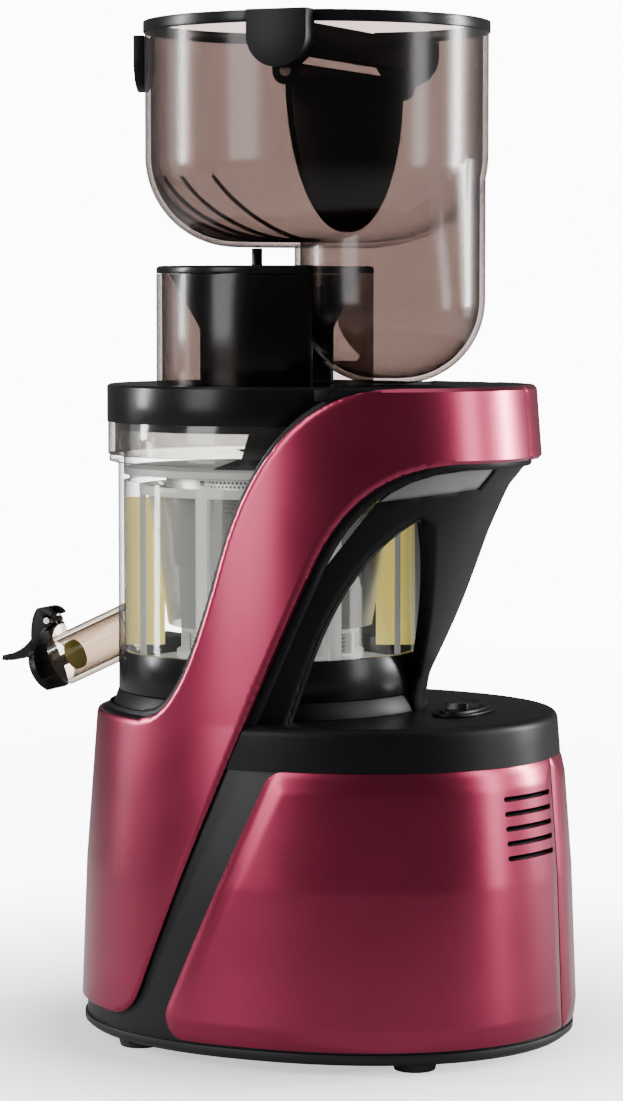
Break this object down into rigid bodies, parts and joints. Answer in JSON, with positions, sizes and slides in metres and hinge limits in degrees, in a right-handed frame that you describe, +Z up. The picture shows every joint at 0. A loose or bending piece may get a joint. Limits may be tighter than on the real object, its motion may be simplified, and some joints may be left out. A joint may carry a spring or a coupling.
{
  "type": "cold press juicer",
  "caption": "Vertical slow juicer with a wide clear hopper, gated feed bulb, clear juice drum with auger and strainer, an arched handle ribbon and an oval motor base.",
  "frame": {"origin": "middle of the whole footprint, at the table, between the cap lever's tip and the body's rear", "axes": "+Z up, -Y towards the juice spout, +X to the right when seen from behind the spout looking to the rear"},
  "size_m": [0.1874, 0.2786, 0.46],
  "materials": {
    "burgundy": "satin metallic",
    "black_satin": "satin",
    "black_gloss": "gloss",
    "dark_plastic": "satin",
    "grey_plastic": "satin",
    "smoke_clear": "clear",
    "clear": "clear",
    "steel": "brushed",
    "silicone_yellow": "satin",
    "silicone_olive": "satin",
    "rubber": "matte",
    "copper": "satin",
    "board": "satin"
  },
  "bodies": {
    "base": {"bottom_plate": "dark_plastic", "rubber_feet": "rubber", "base_housing": "dark_plastic", "side_panel_right": "burgundy", "side_panel_left": "burgundy", "deck_cover": "black_satin", "ribbon_right": "burgundy", "ribbon_left": "burgundy", "arch_frame_right": "black_satin", "arch_frame_left": "black_satin", "arch_top_cover": "black_satin", "arch_vent_grille": "black_satin", "handle_grip": "grey_plastic", "drum_seat": "black_satin", "switch_bezel": "black_satin", "power_inlet": "black_satin", "control_board": "board", "motor_mount": "dark_plastic", "motor_stator": "copper", "gearbox_tray": "grey_plastic", "gearbox_cover": "grey_plastic", "upper_bearing": "steel", "lower_bearing": "steel", "shaft_seal": "rubber", "base_screws": "steel", "gearbox_screws": "steel", "collar_screws": "steel"},
    "rocker": {"switch_rocker": "black_gloss"},
    "rotor": {"motor_rotor": "steel", "cooling_fan": "dark_plastic"},
    "countershaft": {"intermediate_gear": "steel"},
    "output": {"output_gear": "steel", "output_shaft": "steel"},
    "drum": {"bowl_base": "black_gloss", "bowl_wall": "clear", "juice_spout": "clear", "cap_pin": "steel", "pulp_outlet": "black_gloss"},
    "cap": {"spout_cap": "black_gloss", "cap_plug": "silicone_olive"},
    "strainer": {"strainer_frame": "grey_plastic", "strainer_mesh": "steel"},
    "wiper": {"wiper_frame": "grey_plastic", "wiper_blades": "silicone_yellow"},
    "idler": {"idler_gear": "grey_plastic"},
    "auger": {"auger": "dark_plastic"},
    "seal": {"lid_seal": "rubber"},
    "lid": {"lid_ring": "black_gloss", "lid_collar": "clear", "feed_neck": "smoke_clear", "neck_cap": "black_gloss", "feed_chute": "dark_plastic"},
    "hopper": {"hopper_body": "smoke_clear", "hopper_rim": "black_gloss", "hopper_bar": "black_satin", "front_tab": "black_satin"},
    "gate": {"hopper_gate": "black_gloss", "gate_pins": "steel"}
  },
  "joints": [
    {"name": "rocker_tilt", "type": "hinge", "parent": "base", "child": "rocker", "pos_m": [0, 0.0905, 0.149], "axis": [0, 1, 0], "range_deg": [-7, 7]},
    {"name": "rotor_spin", "type": "hinge", "parent": "base", "child": "rotor", "pos_m": [0, 0.0725, 0.06], "axis": [0, 0, 1], "continuous": true},
    {"name": "countershaft_spin", "type": "hinge", "parent": "base", "child": "countershaft", "pos_m": [0.02046, 0.04107, 0.105], "axis": [0, 0, 1], "continuous": true},
    {"name": "output_spin", "type": "hinge", "parent": "base", "child": "output", "pos_m": [0, -0.004, 0.105], "axis": [0, 0, 1], "continuous": true},
    {"name": "drum_lift", "type": "slide", "parent": "base", "child": "drum", "axis": [0, 0, 1], "range_m": [0, 0.12]},
    {"name": "cap_open", "type": "hinge", "parent": "drum", "child": "cap", "pos_m": [0, -0.11515, 0.18457], "axis": [-1, 0, 0], "range_deg": [0, 100]},
    {"name": "wiper_spin", "type": "hinge", "parent": "drum", "child": "wiper", "pos_m": [0, -0.004, 0.17], "axis": [0, 0, 1], "continuous": true},
    {"name": "idler_spin", "type": "hinge", "parent": "drum", "child": "idler", "pos_m": [-0.0151, -0.02638, 0.166], "axis": [0, 0, 1], "continuous": true},
    {"name": "strainer_lift", "type": "slide", "parent": "drum", "child": "strainer", "axis": [0, 0, 1], "range_m": [0, 0.1]},
    {"name": "auger_spin", "type": "hinge", "parent": "strainer", "child": "auger", "pos_m": [0, -0.004, 0.2], "axis": [0, 0, 1], "continuous": true},
    {"name": "lid_lift", "type": "slide", "parent": "drum", "child": "seal", "axis": [0, 0, 1], "range_m": [0, 0.2]},
    {"name": "lid_turn", "type": "hinge", "parent": "seal", "child": "lid", "pos_m": [0, -0.004, 0.28], "axis": [0, 0, -1], "range_deg": [0, 25]},
    {"name": "hopper_lift", "type": "slide", "parent": "lid", "child": "hopper", "axis": [0, 0, 1], "range_m": [0, 0.1]},
    {"name": "gate_swing", "type": "hinge", "parent": "hopper", "child": "gate", "pos_m": [0, 0.0335, 0.434], "axis": [1, 0, 0], "range_deg": [-45, 45]}
  ],
  "couplings": [
    {"joint": "countershaft_spin", "follows": "rotor_spin", "ratio": -0.2},
    {"joint": "output_spin", "follows": "rotor_spin", "ratio": 0.044444},
    {"joint": "auger_spin", "follows": "rotor_spin", "ratio": 0.044444},
    {"joint": "idler_spin", "follows": "rotor_spin", "ratio": -0.088889},
    {"joint": "wiper_spin", "follows": "rotor_spin", "ratio": -0.022222},
    {"joint": "strainer_lift", "follows": "lid_lift", "ratio": 0.5}
  ]
}
